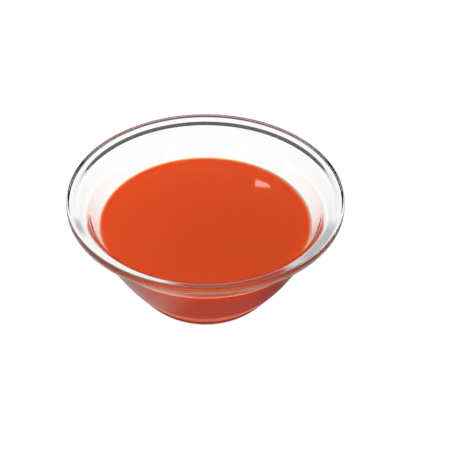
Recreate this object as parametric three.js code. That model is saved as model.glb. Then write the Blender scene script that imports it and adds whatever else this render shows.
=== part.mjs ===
// A clear glass bowl filled with orange juice. Millimetres, +Z up; the bowl stands on Z = 0 with its
// axis on Z. The glass is turned from one line, its inner face (flat floor, knee, wall, flared lip),
// and a thickness measured square to that line. The lip ends in a thick, rounded rim that reaches a
// little below it. The juice follows the same line up to its level.
import * as THREE from 'three';

// Overall size of the bowl
const RIM_DIAMETER = 230;
const BOWL_HEIGHT = 97.9;

// Inner face of the glass: radii of its bends, and its slope to the table in degrees
const KNEE_RADIUS = 8.89;
const WALL_FOOT_SLOPE = 55.25;
const WALL_TOP_SLOPE = 68.86;
const LIP_RADIUS = 27.87;
const LIP_END_SLOPE = 16.66;

// Thickness of the glass; the lip swells over the outer share of its bend
const FLOOR_THICKNESS = 5.5;
const WALL_FOOT_THICKNESS = 4.43;
const WALL_MIDDLE_THICKNESS = 5.04;
const WALL_TOP_THICKNESS = 4.8;
const LIP_END_THICKNESS = 5.83;
const LIP_SWELL_SHARE = 0.549;

// Rim: its height and width, and the roundings of its outer face
const RIM_HEIGHT = 8.56;
const RIM_WIDTH = 9.28;
const RIM_UPPER_ROUNDING = 1.58;
const RIM_LOWER_ROUNDING = 3.03;

// Juice: its level above the table, and the clearance between it and the glass
const JUICE_LEVEL = 66.2;
const JUICE_CLEARANCE = 0.3;

// Facets round the axis and along each bend
const SIDES = 72;
const KNEE_STEPS = 5;
const WALL_STEPS = 6;
const LIP_STEPS = 8;
const FILLET_STEPS = 5;
const RIM_STEPS = 4;

const { degToRad, lerp, smoothstep } = THREE.MathUtils;
const kneeEnd = degToRad(WALL_FOOT_SLOPE);
const wallEnd = degToRad(WALL_TOP_SLOPE);
const lipEnd = degToRad(LIP_END_SLOPE);

// The lip runs into the rim's upper rounding. Working inwards from there, the rise that is left over
// fixes the wall's large radius, and the run that is left over fixes the flat floor.
const rimRadius = RIM_DIAMETER / 2;
const rimUpper = BOWL_HEIGHT - RIM_UPPER_ROUNDING;
const rimLower = BOWL_HEIGHT - RIM_HEIGHT + RIM_LOWER_ROUNDING;
const lipTop = rimUpper + RIM_UPPER_ROUNDING * Math.cos(lipEnd);
const lipReach = rimRadius - RIM_UPPER_ROUNDING * (1 + Math.sin(lipEnd));
const lipRise = LIP_RADIUS * (Math.cos(lipEnd) - Math.cos(wallEnd));
const lipRun = LIP_RADIUS * (Math.sin(wallEnd) - Math.sin(lipEnd));
const kneeRise = KNEE_RADIUS * (1 - Math.cos(kneeEnd));
const kneeRun = KNEE_RADIUS * Math.sin(kneeEnd);
const wallRise = lipTop - lipRise - kneeRise - FLOOR_THICKNESS;
const wallRadius = wallRise / (Math.cos(kneeEnd) - Math.cos(wallEnd));
const wallRun = wallRadius * (Math.sin(wallEnd) - Math.sin(kneeEnd));
const floorRadius = lipReach - lipRun - wallRun - kneeRun;

// A bend of the profile: points with the slope of the line at each. turn is 1 where the line climbs
// ever more steeply and -1 where it leans outwards.
function bend(start, radius, turn, fromSlope, toSlope, steps) {
  const arm = (slope) => new THREE.Vector2(Math.sin(slope), -Math.cos(slope)).multiplyScalar(turn * radius);
  const centre = start.clone().sub(arm(fromSlope));
  return Array.from({ length: steps + 1 }, (_, i) => {
    const share = i / steps;
    const slope = lerp(fromSlope, toSlope, share);
    return { point: centre.clone().add(arm(slope)), slope, share };
  });
}

// The point that lies a distance square to the line, on its outer side
function outside({ point, slope }, distance) {
  return new THREE.Vector2(point.x + distance * Math.sin(slope), point.y - distance * Math.cos(slope));
}

// One rounding of the rim, about its centre's height, between two angles to the level
function rounding(radius, height, fromAngle, toAngle) {
  return Array.from({ length: RIM_STEPS + 1 }, (_, i) => {
    const angle = lerp(fromAngle, toAngle, i / RIM_STEPS);
    const out = rimRadius - radius + radius * Math.cos(angle);
    return new THREE.Vector2(out, height + radius * Math.sin(angle));
  });
}

// The curve from the end of the lip's underside to the rim's lowest line, where it arrives level
function fillet(underside) {
  const neck = underside.at(-1);
  const foot = new THREE.Vector2(rimRadius - RIM_LOWER_ROUNDING, BOWL_HEIGHT - RIM_HEIGHT);
  const reach = neck.distanceTo(foot) / 3;
  const lead = neck.clone().sub(underside.at(-2)).setLength(reach);
  const leave = neck.clone().add(lead);
  const arrive = new THREE.Vector2(foot.x - reach, foot.y);
  return new THREE.CubicBezierCurve(neck, leave, arrive, foot).getPoints(FILLET_STEPS).slice(1, -1);
}

function turned(name, profile, material) {
  const geometry = new THREE.LatheGeometry(profile, SIDES);
  geometry.rotateX(Math.PI / 2);
  const mesh = new THREE.Mesh(geometry, material);
  mesh.name = name;
  return mesh;
}

function glassBowl() {
  const knee = bend(new THREE.Vector2(floorRadius, FLOOR_THICKNESS), KNEE_RADIUS, 1, 0, kneeEnd, KNEE_STEPS);
  const wall = bend(knee.at(-1).point, wallRadius, 1, kneeEnd, wallEnd, WALL_STEPS).slice(1);
  const lip = bend(wall.at(-1).point, LIP_RADIUS, -1, wallEnd, lipEnd, LIP_STEPS).slice(1);

  const kneeThickness = ({ share }) => lerp(FLOOR_THICKNESS, WALL_FOOT_THICKNESS, smoothstep(share, 0, 1));
  const wallThickness = ({ share }) =>
    lerp(WALL_FOOT_THICKNESS, WALL_MIDDLE_THICKNESS, smoothstep(share, 0, 0.5)) +
    lerp(0, WALL_TOP_THICKNESS - WALL_MIDDLE_THICKNESS, smoothstep(share, 0.5, 1));
  const lipThickness = ({ share }) =>
    lerp(WALL_TOP_THICKNESS, LIP_END_THICKNESS, smoothstep(share, 1 - LIP_SWELL_SHARE, 1));

  const underside = lip
    .map((p) => outside(p, lipThickness(p)))
    .filter((point) => point.x < rimRadius - RIM_WIDTH);
  const outer = [
    ...knee.map((p) => outside(p, kneeThickness(p))),
    ...wall.map((p) => outside(p, wallThickness(p))),
    ...underside,
  ];
  const rim = [
    ...fillet(underside),
    ...rounding(RIM_LOWER_ROUNDING, rimLower, -Math.PI / 2, 0),
    ...rounding(RIM_UPPER_ROUNDING, rimUpper, 0, Math.PI / 2 + lipEnd).slice(0, -1),
  ];
  const inner = [...knee, ...wall, ...lip].map((p) => p.point).reverse();

  const profile = [
    new THREE.Vector2(0, 0),
    ...outer,
    ...rim,
    ...inner,
    new THREE.Vector2(0, FLOOR_THICKNESS),
  ];
  const glass = new THREE.MeshStandardMaterial({ color: 0xf2f5f4, roughness: 0.04, metalness: 0 });
  return turned('glass_bowl', profile, glass);
}

function juice() {
  const bottom = FLOOR_THICKNESS + JUICE_CLEARANCE;
  const kneeBend = KNEE_RADIUS - JUICE_CLEARANCE;
  const wallBend = wallRadius - JUICE_CLEARANCE;
  const knee = bend(new THREE.Vector2(floorRadius, bottom), kneeBend, 1, 0, kneeEnd, KNEE_STEPS);
  const wallFoot = knee.at(-1).point;
  const levelSlope = Math.acos(Math.cos(kneeEnd) - (JUICE_LEVEL - wallFoot.y) / wallBend);
  const wall = bend(wallFoot, wallBend, 1, kneeEnd, levelSlope, WALL_STEPS).slice(1);

  const profile = [
    new THREE.Vector2(0, bottom),
    ...knee.map((p) => p.point),
    ...wall.map((p) => p.point),
    new THREE.Vector2(0, JUICE_LEVEL),
  ];
  const juiceLook = new THREE.MeshStandardMaterial({ color: 0xd54a25, roughness: 0.15, metalness: 0 });
  return turned('orange_juice', profile, juiceLook);
}

const bowlOfJuice = new THREE.Group();
bowlOfJuice.add(glassBowl(), juice());

export default bowlOfJuice;
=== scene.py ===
import math

import bpy
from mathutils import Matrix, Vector
from mathutils.geometry import interpolate_bezier


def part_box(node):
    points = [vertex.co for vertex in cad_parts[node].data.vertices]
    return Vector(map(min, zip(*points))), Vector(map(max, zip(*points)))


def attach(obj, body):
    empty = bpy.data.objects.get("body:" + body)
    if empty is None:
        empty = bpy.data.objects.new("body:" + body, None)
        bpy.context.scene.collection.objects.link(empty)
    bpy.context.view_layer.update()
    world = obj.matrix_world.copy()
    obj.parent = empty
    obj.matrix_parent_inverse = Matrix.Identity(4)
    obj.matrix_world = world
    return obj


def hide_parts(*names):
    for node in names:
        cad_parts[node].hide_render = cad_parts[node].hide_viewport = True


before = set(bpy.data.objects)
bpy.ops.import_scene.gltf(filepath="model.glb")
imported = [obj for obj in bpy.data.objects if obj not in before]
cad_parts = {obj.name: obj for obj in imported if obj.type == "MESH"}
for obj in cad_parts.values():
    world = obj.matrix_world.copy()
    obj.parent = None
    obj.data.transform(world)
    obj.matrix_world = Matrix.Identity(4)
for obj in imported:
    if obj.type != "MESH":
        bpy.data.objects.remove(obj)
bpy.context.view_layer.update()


# The bowl: one piece of clear, colourless glass, pressed in a mould and fire-polished. A flat base runs
# round a knee into a gently curved wall, which flares into a thin lip with a thick, rounded rim. It stands
# on its base and holds the juice.
MM = 0.001
bowl_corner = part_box("glass_bowl")[1]
RIM_RADIUS = bowl_corner.x
BOWL_HEIGHT = bowl_corner.z
KNEE_RADIUS = 8.89 * MM
WALL_FOOT_SLOPE = math.radians(55.25)
WALL_TOP_SLOPE = math.radians(68.86)
LIP_RADIUS = 27.87 * MM
LIP_END_SLOPE = math.radians(16.66)
FLOOR_THICKNESS = 5.5 * MM
WALL_FOOT_THICKNESS = 4.43 * MM
WALL_MIDDLE_THICKNESS = 5.04 * MM
WALL_TOP_THICKNESS = 4.80 * MM
LIP_END_THICKNESS = 5.83 * MM
LIP_SWELL_SHARE = 0.549
RIM_HEIGHT = 8.56 * MM
RIM_WIDTH = 9.28 * MM
RIM_UPPER_ROUNDING = 1.58 * MM
RIM_LOWER_ROUNDING = 3.03 * MM
FLAT_MARGIN = 1.0 * MM
KNEE_STEPS = 14
WALL_STEPS = 30
LIP_STEPS = 40
RIM_STEPS = 24
STEPS_ROUND = 256
MERGE_DISTANCE = 0.005 * MM
GLASS_IOR = 1.52
GLASS_COLOUR = (0.985, 0.995, 0.99, 1)
RIPPLE_SCALE = 28.0
RIPPLE_DETAIL = 1.0
RIPPLE_DEPTH = 0.03 * MM


def bend(start, radius, turn, from_slope, to_slope, steps):
    """Points (radius, height, slope, share) along an arc that steepens (turn 1) or flattens (turn -1)."""
    centre_r = start[0] - turn * radius * math.sin(from_slope)
    centre_z = start[1] + turn * radius * math.cos(from_slope)
    points = []
    for i in range(steps + 1):
        share = i / steps
        slope = from_slope + (to_slope - from_slope) * share
        r = centre_r + turn * radius * math.sin(slope)
        z = centre_z - turn * radius * math.cos(slope)
        points.append((r, z, slope, share))
    return points


def between(low, high, share):
    """A value that passes from low to high, with soft ends, as a share passes from 0 to 1."""
    share = min(max(share, 0.0), 1.0)
    return low + (high - low) * share * share * (3 - 2 * share)


def outside(point, distance):
    """The place a distance square to the profile, on its outer side."""
    r, z, slope, _ = point
    return r + distance * math.sin(slope), z - distance * math.cos(slope)


def rounding(radius, height, from_angle, to_angle):
    """One rounding of the rim, centred at a height, that touches the bowl's greatest radius."""
    places = []
    for i in range(RIM_STEPS + 1):
        angle = from_angle + (to_angle - from_angle) * i / RIM_STEPS
        places.append((RIM_RADIUS - radius + radius * math.cos(angle), height + radius * math.sin(angle)))
    return places


def turned(name, profile):
    """A solid of revolution: a point extruded along the profile, and the chain spun about the axis."""
    bpy.ops.object.select_all(action="DESELECT")
    bpy.ops.mesh.primitive_plane_add(size=BOWL_HEIGHT)
    piece = bpy.context.object
    piece.name = name
    piece.data.name = name
    bpy.ops.object.mode_set(mode="EDIT")
    bpy.ops.mesh.select_all(action="SELECT")
    bpy.ops.mesh.merge(type="CENTER")
    bpy.ops.transform.translate(value=(profile[0][0], 0, profile[0][1]))
    for here, there in zip(profile, profile[1:]):
        step = (there[0] - here[0], 0, there[1] - here[1])
        bpy.ops.mesh.extrude_region_move(TRANSFORM_OT_translate={"value": step})
    bpy.ops.mesh.select_all(action="SELECT")
    bpy.ops.mesh.spin(steps=STEPS_ROUND, angle=math.tau, center=(0, 0, 0), axis=(0, 0, 1))
    bpy.ops.mesh.select_all(action="SELECT")
    bpy.ops.mesh.remove_doubles(threshold=MERGE_DISTANCE)
    bpy.ops.mesh.normals_make_consistent(inside=False)
    bpy.ops.object.mode_set(mode="OBJECT")
    bpy.ops.object.shade_smooth()
    return piece


# The rise that the knee and the lip leave over fixes the wall's large radius, and the run fixes the floor.
rim_upper = BOWL_HEIGHT - RIM_UPPER_ROUNDING
rim_lower = BOWL_HEIGHT - RIM_HEIGHT + RIM_LOWER_ROUNDING
lip_top = rim_upper + RIM_UPPER_ROUNDING * math.cos(LIP_END_SLOPE)
lip_reach = RIM_RADIUS - RIM_UPPER_ROUNDING * (1 + math.sin(LIP_END_SLOPE))
lip_rise = LIP_RADIUS * (math.cos(LIP_END_SLOPE) - math.cos(WALL_TOP_SLOPE))
lip_run = LIP_RADIUS * (math.sin(WALL_TOP_SLOPE) - math.sin(LIP_END_SLOPE))
knee_rise = KNEE_RADIUS * (1 - math.cos(WALL_FOOT_SLOPE))
knee_run = KNEE_RADIUS * math.sin(WALL_FOOT_SLOPE)
wall_rise = lip_top - lip_rise - knee_rise - FLOOR_THICKNESS
wall_radius = wall_rise / (math.cos(WALL_FOOT_SLOPE) - math.cos(WALL_TOP_SLOPE))
wall_run = wall_radius * (math.sin(WALL_TOP_SLOPE) - math.sin(WALL_FOOT_SLOPE))
floor_radius = lip_reach - lip_run - wall_run - knee_run

knee = bend((floor_radius, FLOOR_THICKNESS), KNEE_RADIUS, 1, 0, WALL_FOOT_SLOPE, KNEE_STEPS)
wall = bend(knee[-1], wall_radius, 1, WALL_FOOT_SLOPE, WALL_TOP_SLOPE, WALL_STEPS)[1:]
lip = bend(wall[-1], LIP_RADIUS, -1, WALL_TOP_SLOPE, LIP_END_SLOPE, LIP_STEPS)[1:]

# The outer face lies a thickness outside the inner one: it thins round the knee, and swells along the lip.
outer_face = [(0, 0), (floor_radius - FLAT_MARGIN, 0)]
for point in knee:
    outer_face.append(outside(point, between(FLOOR_THICKNESS, WALL_FOOT_THICKNESS, point[3])))
for point in wall:
    halves = point[3] * 2
    thickness = between(WALL_FOOT_THICKNESS, WALL_MIDDLE_THICKNESS, halves)
    thickness += between(0, WALL_TOP_THICKNESS - WALL_MIDDLE_THICKNESS, halves - 1)
    outer_face.append(outside(point, thickness))
for point in lip:
    swell = (point[3] - 1 + LIP_SWELL_SHARE) / LIP_SWELL_SHARE
    place = outside(point, between(WALL_TOP_THICKNESS, LIP_END_THICKNESS, swell))
    if place[0] < RIM_RADIUS - RIM_WIDTH:
        outer_face.append(place)

# A fillet, with handles a third of its length, leads from the lip's underside to the rim's lowest line.
neck = Vector(outer_face[-1])
lead = (neck - Vector(outer_face[-2])).normalized()
rim_foot = Vector((RIM_RADIUS - RIM_LOWER_ROUNDING, BOWL_HEIGHT - RIM_HEIGHT))
reach = (rim_foot - neck).length / 3
leave = neck + lead * reach
arrive = rim_foot - Vector((reach, 0))
fillet = interpolate_bezier(neck, leave, arrive, rim_foot, RIM_STEPS)[1:-1]
rim = rounding(RIM_LOWER_ROUNDING, rim_lower, -math.pi / 2, 0)
rim += rounding(RIM_UPPER_ROUNDING, rim_upper, 0, math.pi / 2 + LIP_END_SLOPE)[:-1]
inner_face = [(r, z) for r, z, _, _ in reversed(knee + wall + lip)]
inner_face += [(floor_radius - FLAT_MARGIN, FLOOR_THICKNESS), (0, FLOOR_THICKNESS)]
bowl = turned("bowl", outer_face + [(r, z) for r, z, *_ in fillet] + rim + inner_face)


class Wire:
    """A socket in a shader tree. Sums, differences, products and quotients of wires add Math nodes."""

    def __init__(self, tree, socket=None):
        self.tree = tree
        self.socket = socket

    def node(self, kind, settings, sockets):
        """A new node; a socket is given a wire or a constant."""
        added = self.tree.nodes.new(kind)
        for name, setting in settings.items():
            setattr(added, name, setting)
        for name, value in sockets.items():
            if isinstance(value, Wire):
                self.tree.links.new(value.socket, added.inputs[name])
            else:
                added.inputs[name].default_value = value
        return added

    def outs(self, kind, settings, sockets, *outputs):
        """The named outputs of a new node."""
        added = self.node(kind, settings, sockets)
        return [Wire(self.tree, added.outputs[output]) for output in outputs]

    def out(self, kind, settings, sockets, output):
        """One output of a new node."""
        return self.outs(kind, settings, sockets, output)[0]

    def maths(self, operation, first, second):
        return self.out("ShaderNodeMath", {"operation": operation}, {0: first, 1: second}, 0)

    def __add__(self, other):
        return self.maths("ADD", self, other)

    def __radd__(self, other):
        return self.maths("ADD", other, self)

    def __sub__(self, other):
        return self.maths("SUBTRACT", self, other)

    def __rsub__(self, other):
        return self.maths("SUBTRACT", other, self)

    def __mul__(self, other):
        return self.maths("MULTIPLY", self, other)

    def __rmul__(self, other):
        return self.maths("MULTIPLY", other, self)

    def __truediv__(self, other):
        return self.maths("DIVIDE", self, other)

    def __rtruediv__(self, other):
        return self.maths("DIVIDE", other, self)

    def __abs__(self):
        return self.maths("ABSOLUTE", self, 0)

    def rising(self, low, high):
        """0 below low, 1 above high, with a soft step between."""
        settings = {"interpolation_type": "SMOOTHSTEP"}
        sockets = {"Value": self, "From Min": low, "From Max": high}
        return self.out("ShaderNodeMapRange", settings, sockets, "Result")

    def noise(self, place, scale, detail):
        """Soft random clouds, from 0 to 1."""
        sockets = {"Vector": place, "Scale": scale, "Detail": detail}
        return self.out("ShaderNodeTexNoise", {}, sockets, "Fac")

    def mixed(self, share, first, second):
        """A colour that passes from the first to the second as a share passes from 0 to 1."""
        sockets = {"Factor": share, "A": first, "B": second}
        return self.out("ShaderNodeMix", {"data_type": "RGBA"}, sockets, "Result")


def new_finish(name):
    """An empty material, and the wire that its nodes are added with."""
    finish = bpy.data.materials.new(name)
    finish.use_nodes = True
    finish.node_tree.nodes.clear()
    return finish, Wire(finish.node_tree)


def end_finish(start, settings, sockets):
    """Gives a material its one shader, and joins that to the material's output."""
    shader = start.out("ShaderNodeBsdfPrincipled", settings, sockets, "BSDF")
    start.node("ShaderNodeOutputMaterial", {}, {"Surface": shader})


# Pressed glass is never quite even: long, faint ripples in its faces bend the lines seen in it.
clear_glass, start = new_finish("clear_glass")
place = start.out("ShaderNodeTexCoord", {}, {}, "Object")
ripple = start.noise(place, RIPPLE_SCALE, RIPPLE_DETAIL)
uneven = start.out(
    "ShaderNodeBump",
    {},
    {"Height": ripple, "Strength": 1.0, "Distance": RIPPLE_DEPTH},
    "Normal",
)
end_finish(
    start,
    {},
    {
        "Base Color": GLASS_COLOUR,
        "Roughness": 0.0,
        "IOR": GLASS_IOR,
        "Transmission Weight": 1.0,
        "Normal": uneven,
    },
)
bowl.data.materials.append(clear_glass)
# Light falls through clear glass almost unweakened, so the bowl throws no shadow on what it holds.
bowl.visible_shadow = False
bowl.visible_diffuse = False
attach(bowl, "root")
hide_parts("glass_bowl")


# The juice: an opaque, pulpy orange-red drink poured into the bowl. It wets the glass, so its edge climbs
# the wall in a thin rim, and it reaches just into the wall, where glass and juice meet with no air between.
JUICE_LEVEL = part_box("orange_juice")[1].z
INTO_GLASS = 0.15 * MM
EDGE_CLIMB = 1.6 * MM
EDGE_WIDTH = 2.7 * MM
EDGE_REACH = 16 * MM
EDGE_STEPS = 20
JUICE_KNEE_STEPS = 12
JUICE_WALL_STEPS = 30
JUICE_IOR = 1.35
SCATTER_RADIUS = (1.0, 0.2, 0.08)
SCATTER_SCALE = 12 * MM
SURFACE_GLOSS = 0.5
SURFACE_ROUGHNESS = 0.02
COVERED_GLOSS = 0.0
COVERED_ROUGHNESS = 0.5
SURFACE_UPRIGHT = 0.3

juice_bottom = FLOOR_THICKNESS - INTO_GLASS
juice_start = (floor_radius, juice_bottom)
juice_knee = bend(juice_start, KNEE_RADIUS + INTO_GLASS, 1, 0, WALL_FOOT_SLOPE, JUICE_KNEE_STEPS)
juice_wall_radius = wall_radius + INTO_GLASS
climb = JUICE_LEVEL + EDGE_CLIMB - juice_knee[-1][1]
edge_slope = math.acos(math.cos(WALL_FOOT_SLOPE) - climb / juice_wall_radius)
juice_wall = bend(juice_knee[-1], juice_wall_radius, 1, WALL_FOOT_SLOPE, edge_slope, JUICE_WALL_STEPS)[1:]
edge_radius = juice_wall[-1][0]
edge_curve = []
for i in range(1, EDGE_STEPS + 1):
    inwards = EDGE_REACH * (i / EDGE_STEPS) ** 2
    edge_curve.append((edge_radius - inwards, JUICE_LEVEL + EDGE_CLIMB * math.exp(-inwards / EDGE_WIDTH)))
juice_profile = [(0, juice_bottom), (floor_radius - FLAT_MARGIN, juice_bottom)]
juice_profile += [(r, z) for r, z, _, _ in juice_knee + juice_wall]
juice_profile += edge_curve + [(0, JUICE_LEVEL)]
juice = turned("juice", juice_profile)

# Colours of the juice: its body, clouded by pulp and with a painted lightening towards the edge, the film
# at the edge, and a painted shade at the heel. Starts and ends of a shade are heights, or shares of the
# juice's radius.
BLACK = (0, 0, 0, 1)
JUICE_DEEP = (0.66, 0.072, 0.016, 1)
JUICE_BRIGHT = (0.71, 0.085, 0.017, 1)
BRIGHT_START = 0.2
BRIGHT_SHARE = 0.6
CLOUD_SCALE = 22.0
CLOUD_DETAIL = 3.0
CLOUD_SHARE = 0.5
PULP_SCALE = 260.0
PULP_DETAIL = 2.0
PULP_SHARE = 0.3
NOISE_MIDDLE = 0.5
JUICE_FILM = (0.95, 0.5, 0.33, 1)
FILM_START = 0.3
JUICE_HEEL_SHADE = (0.1, 0.018, 0.008, 1)
HEEL_SHADE_START = 6 * MM
HEEL_SHADE_END = 8 * MM
# A painted shade on the juice behind the glass: darker towards both sides, most of all near the top.
SIDE_SHADE = 0.22
SIDE_SHADE_START = 0.3
SIDE_SHADE_END = 0.95
UPPER_SHADE = 0.5
UPPER_SHADE_START = 20 * MM
UPPER_SHADE_END = 66 * MM


def juice_finish(name, gloss, roughness, covered):
    """Juice in the open (covered 0), or behind the glass (covered 1), where a painted shade darkens it to
    both sides.
    """
    finish, start = new_finish(name)
    place = start.out("ShaderNodeTexCoord", {}, {}, "Object")
    across, height = start.outs("ShaderNodeSeparateXYZ", {}, {"Vector": place}, "X", "Z")
    flat = start.out("ShaderNodeVectorMath", {"operation": "MULTIPLY"}, {0: place, 1: (1, 1, 0)}, "Vector")
    radius = start.out("ShaderNodeVectorMath", {"operation": "LENGTH"}, {0: flat}, "Value")
    clouds = start.noise(place, CLOUD_SCALE, CLOUD_DETAIL) - NOISE_MIDDLE
    pulp = start.noise(place, PULP_SCALE, PULP_DETAIL) - NOISE_MIDDLE
    # A painted lightening: the juice's colour grows brighter towards its edge.
    outwards = radius.rising(BRIGHT_START * edge_radius, edge_radius)
    bright = outwards * BRIGHT_SHARE + clouds * CLOUD_SHARE + pulp * PULP_SHARE
    body = start.mixed(bright, JUICE_DEEP, JUICE_BRIGHT)
    film = height.rising(JUICE_LEVEL + FILM_START * EDGE_CLIMB, JUICE_LEVEL + EDGE_CLIMB)
    above_heel = start.mixed(film, body, JUICE_FILM)
    # A painted shade darkens the juice at its heel, near the base.
    unshaded = start.mixed(height.rising(HEEL_SHADE_START, HEEL_SHADE_END), JUICE_HEEL_SHADE, above_heel)
    # Behind the glass, a painted shade darkens the juice towards both sides, most of all near its top.
    aside = (abs(across) / radius).rising(SIDE_SHADE_START, SIDE_SHADE_END)
    depth = SIDE_SHADE + UPPER_SHADE * height.rising(UPPER_SHADE_START, UPPER_SHADE_END)
    end_finish(
        start,
        {"subsurface_method": "RANDOM_WALK"},
        {
            "Base Color": start.mixed(aside * covered * depth, unshaded, BLACK),
            "Roughness": roughness,
            "IOR": JUICE_IOR,
            "Specular IOR Level": gloss,
            "Subsurface Weight": 1.0,
            "Subsurface Radius": SCATTER_RADIUS,
            "Subsurface Scale": SCATTER_SCALE,
        },
    )
    return finish


juice.data.materials.append(juice_finish("juice_surface", SURFACE_GLOSS, SURFACE_ROUGHNESS, 0))
juice.data.materials.append(juice_finish("juice_in_glass", COVERED_GLOSS, COVERED_ROUGHNESS, 1))
for face in juice.data.polygons:
    if face.normal.z < SURFACE_UPRIGHT:
        face.material_index = 1
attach(juice, "root")
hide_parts("orange_juice")


# The table: a wide sheet of plain white plastic, lit from below, so that it is even white to the eye, with
# a painted dark line, a contact shadow, where the bowl stands on it. The glass shows shades painted on the
# sheet: a reddish painted shade round the foot, a painted glow and contact shadow at the heel, and grey
# painted shadows to the right and faintly to the left, where the bowl would throw its shadow.
TABLE_RADIUS = 1.5
TABLE_SIDES = 128
TABLE_DROP = 0.1 * MM
TABLE_WHITE = 0.1
TABLE_GLOW = 1.0
TABLE_THROUGH = 0.95
TABLE_BOUNCE = 1.0
TABLE_MIRRORED = 0.42
WHITE = (1, 1, 1, 1)
MIDDLE = (0, 0, 0)
# Painted shades of the sheet, seen in the glass: reddish round the foot, mauve where mirrored, and grey
# painted shadows to the right and left.
FOOT_SHADE = (0.5, 0.045, 0.015, 1)
MIRROR_SHADE = (0.5, 0.17, 0.28, 1)
FOOT_SHADE_MIDDLE = (0.03, -0.055, 0)
FOOT_SHADE_INSIDE = 50 * MM
FOOT_SHADE_OUTSIDE = 80 * MM
RIGHT_SHADE_MIDDLE = (0.14, 0.01, 0)
RIGHT_SHADE_INSIDE = 25 * MM
RIGHT_SHADE_OUTSIDE = 75 * MM
RIGHT_SHADE_DEPTH = 0.5
LEFT_SHADE_MIDDLE = (-0.167, 0.045, 0)
LEFT_SHADE_INSIDE = 8 * MM
LEFT_SHADE_OUTSIDE = 38 * MM
LEFT_SHADE_DEPTH = 0.5
# A painted glow and a painted contact shadow round the heel, which only rays mirrored in the glass see.
HEEL_GLOW = (2.1, 0.76, 0.5, 1)
HEEL_GLOW_INSIDE = 62 * MM
HEEL_GLOW_OUTSIDE = 64 * MM
CONTACT_SHADE = (0.05, 0.01, 0.005, 1)
CONTACT_INSIDE = 58.5 * MM
CONTACT_OUTSIDE = 60 * MM
# A painted contact shadow: a dark line round the foot, seen straight by the eye.
CONTACT_SHADOW_SEEN = (0.15, 0.06, 0.04, 1)
CONTACT_SEEN_INSIDE = 53.3 * MM
CONTACT_SEEN_OUTSIDE = 56 * MM

bpy.ops.object.select_all(action="DESELECT")
bpy.ops.mesh.primitive_circle_add(
    vertices=TABLE_SIDES,
    radius=TABLE_RADIUS,
    fill_type="NGON",
    location=(0, 0, -TABLE_DROP),
)
table = bpy.context.object
table.name = "table"
white_sheet, start = new_finish("white_sheet")
place = start.out("ShaderNodeTexCoord", {}, {}, "Object")


def near(middle, inside, beyond):
    """1 on the sheet within a distance of a point, 0 beyond a greater one, with a soft step between."""
    away = start.out("ShaderNodeVectorMath", {"operation": "DISTANCE"}, {0: place, 1: middle}, "Value")
    return 1 - away.rising(inside, beyond)


# What a ray shows depends on how it came: straight to the eye, through the glass, mirrored in it, or
# spread from the juice, which the plain white sheet lights.
to_eye, through, spread, reflected = start.outs(
    "ShaderNodeLightPath",
    {},
    {},
    "Is Camera Ray",
    "Is Transmission Ray",
    "Is Diffuse Ray",
    "Is Reflection Ray",
)
mirrored = reflected * (1 - spread)
# Painted shadows to the right and left, and a painted reddish shade round the foot; mirrored rays see that
# shade mauve.
right_shade = near(RIGHT_SHADE_MIDDLE, RIGHT_SHADE_INSIDE, RIGHT_SHADE_OUTSIDE)
left_shade = near(LEFT_SHADE_MIDDLE, LEFT_SHADE_INSIDE, LEFT_SHADE_OUTSIDE)
unshaded = 1 - right_shade * RIGHT_SHADE_DEPTH - left_shade * LEFT_SHADE_DEPTH
by_foot = near(FOOT_SHADE_MIDDLE, FOOT_SHADE_INSIDE, FOOT_SHADE_OUTSIDE)
foot = start.mixed(by_foot, WHITE, start.mixed(mirrored, FOOT_SHADE, MIRROR_SHADE))
# Painted contact shadow and painted glow round the heel, for mirrored rays only.
in_contact = mirrored * near(MIDDLE, CONTACT_INSIDE, CONTACT_OUTSIDE)
heel = start.mixed(in_contact, HEEL_GLOW, CONTACT_SHADE)
by_heel = mirrored * near(MIDDLE, HEEL_GLOW_INSIDE, HEEL_GLOW_OUTSIDE)
in_glass = start.mixed(by_heel, start.mixed(unshaded, BLACK, foot), heel)
# A painted contact shadow round the foot, seen straight by the eye.
under_bowl = near(MIDDLE, CONTACT_SEEN_INSIDE, CONTACT_SEEN_OUTSIDE)
seen = start.mixed(under_bowl, WHITE, CONTACT_SHADOW_SEEN)
sheet = start.mixed(spread, start.mixed(to_eye, in_glass, seen), WHITE)
# Rays mirrored in the glass see the sheet dimmer, a painted shade; it glows evenly to the eye.
level = to_eye * TABLE_GLOW + through * TABLE_THROUGH + spread * TABLE_BOUNCE + mirrored * TABLE_MIRRORED
end_finish(
    start,
    {},
    {
        "Base Color": (TABLE_WHITE, TABLE_WHITE, TABLE_WHITE, 1),
        "Roughness": 1.0,
        "Specular IOR Level": 0.0,
        "Emission Color": start.mixed(level, BLACK, sheet),
        "Emission Strength": 1.0,
    },
)
table.data.materials.append(white_sheet)


# The studio: a white background, and about it a room that is light near the floor and dim above. One soft
# light stands at the upper back left, and a small lamp behind the bowl gives the light patch on the juice.
ROOM_LOW = 0.15
ROOM_HIGH = 0.085
ROOM_LOW_EDGE = 0.05
ROOM_HIGH_EDGE = 0.4
KEY_PLACE = (-0.45, 0.55, 1.1)
KEY_SIZE = (0.42, 0.42)
KEY_POWER = 18.7
LAMP_PLACE = (0.11, 1.0, 0.8)
LAMP_SIZE = (0.035, 0.035)
LAMP_POWER = 0.027
LIGHT_AIM = (0, 0, 0.05)

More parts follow.
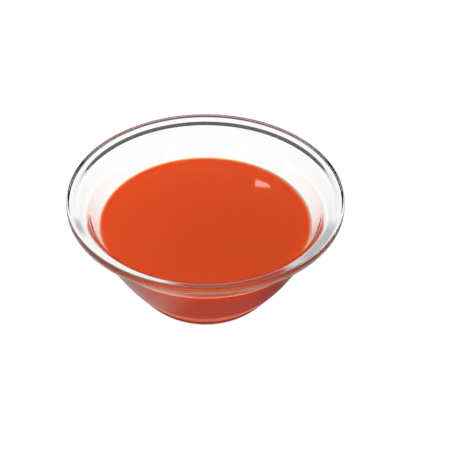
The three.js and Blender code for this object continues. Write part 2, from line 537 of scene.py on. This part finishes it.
room = bpy.data.worlds.new("room")
bpy.context.scene.world = room
room.use_nodes = True
room.node_tree.nodes.clear()
start = Wire(room.node_tree)
facing = start.out("ShaderNodeTexCoord", {}, {}, "Generated")
upwards = start.out("ShaderNodeSeparateXYZ", {}, {"Vector": facing}, "Z")
direct = start.out("ShaderNodeLightPath", {}, {}, "Is Camera Ray")
lightness = ROOM_LOW + (ROOM_HIGH - ROOM_LOW) * upwards.rising(ROOM_LOW_EDGE, ROOM_HIGH_EDGE)
around = start.mixed(start.maths("MAXIMUM", direct, lightness), BLACK, WHITE)
background = start.out("ShaderNodeBackground", {}, {"Color": around}, "Background")
start.node("ShaderNodeOutputWorld", {}, {"Surface": background})


def soft_light(name, place, size, power):
    """A light of a given width and depth, aimed at the bowl."""
    turn = (Vector(LIGHT_AIM) - Vector(place)).to_track_quat("-Z", "Y").to_euler()
    bpy.ops.object.light_add(type="AREA", location=place, rotation=turn)
    light = bpy.context.object
    light.name = name
    light.data.shape = "RECTANGLE"
    light.data.size, light.data.size_y = size
    light.data.energy = power
    return light


key_light = soft_light("key_light", KEY_PLACE, KEY_SIZE, KEY_POWER)
# The soft light's own image is kept out of glass and juice, so that the lines in the rim stay whole.
key_light.visible_glossy = False
key_light.visible_transmission = False
soft_light("small_lamp", LAMP_PLACE, LAMP_SIZE, LAMP_POWER)


# The camera: a long lens from the front, looking down on the bowl. The bowl stands left of and above the
# picture's middle, which the shift gives.
PICTURE = 458
RIM_MIDDLE = (205.5, 195.4)
PIXELS_PER_METRE = 1208
CAMERA_DISTANCE = 1.0
CAMERA_SLOPE = math.radians(38.745)
AIM_BELOW_RIM = 2.4 * MM
SENSOR = 36

aim = Vector((0, 0, BOWL_HEIGHT - AIM_BELOW_RIM))
away = Vector((0, -math.cos(CAMERA_SLOPE), math.sin(CAMERA_SLOPE))) * CAMERA_DISTANCE
bpy.ops.object.camera_add(location=aim + away, rotation=(math.pi / 2 - CAMERA_SLOPE, 0, 0))
camera = bpy.context.object
camera.data.sensor_width = SENSOR
camera.data.lens = SENSOR * PIXELS_PER_METRE * CAMERA_DISTANCE / PICTURE
camera.data.shift_x = (PICTURE / 2 - RIM_MIDDLE[0]) / PICTURE
camera.data.shift_y = (RIM_MIDDLE[1] - PICTURE / 2) / PICTURE
bpy.context.scene.camera = camera
bpy.context.scene.view_settings.view_transform = "Standard"
